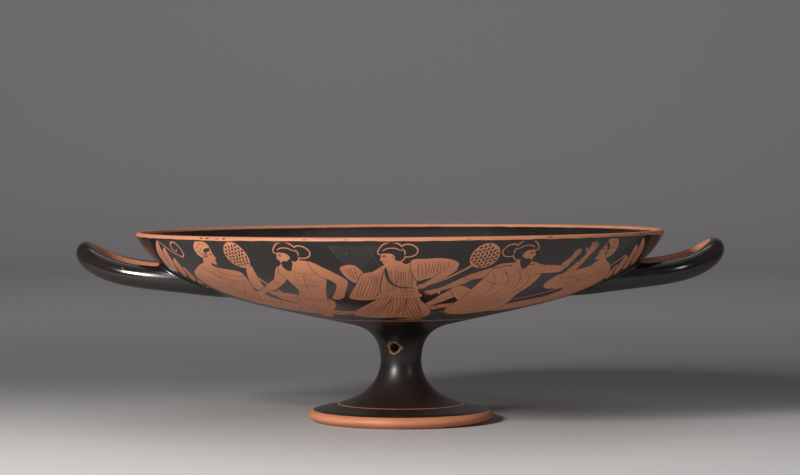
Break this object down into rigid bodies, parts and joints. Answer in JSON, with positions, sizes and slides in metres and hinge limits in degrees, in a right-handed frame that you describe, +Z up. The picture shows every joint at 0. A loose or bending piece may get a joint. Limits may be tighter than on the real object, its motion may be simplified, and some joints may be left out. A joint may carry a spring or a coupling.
{
  "type": "kylix cup",
  "caption": "Wide shallow stemmed drinking cup with two upswept loop handles, black-gloss clay with reserved figures.",
  "frame": {"origin": "middle of the foot on the standing surface", "axes": "+Z up along the stem, +X from handle to handle, -Y the decorated side that shows the flaked hole"},
  "size_m": [0.3936, 0.3194, 0.117],
  "materials": {
    "fired_clay": "black gloss slip over orange clay, reserved figures, worn and repaired"
  },
  "bodies": {
    "root": {"cup": "fired_clay"}
  },
  "joints": []
}
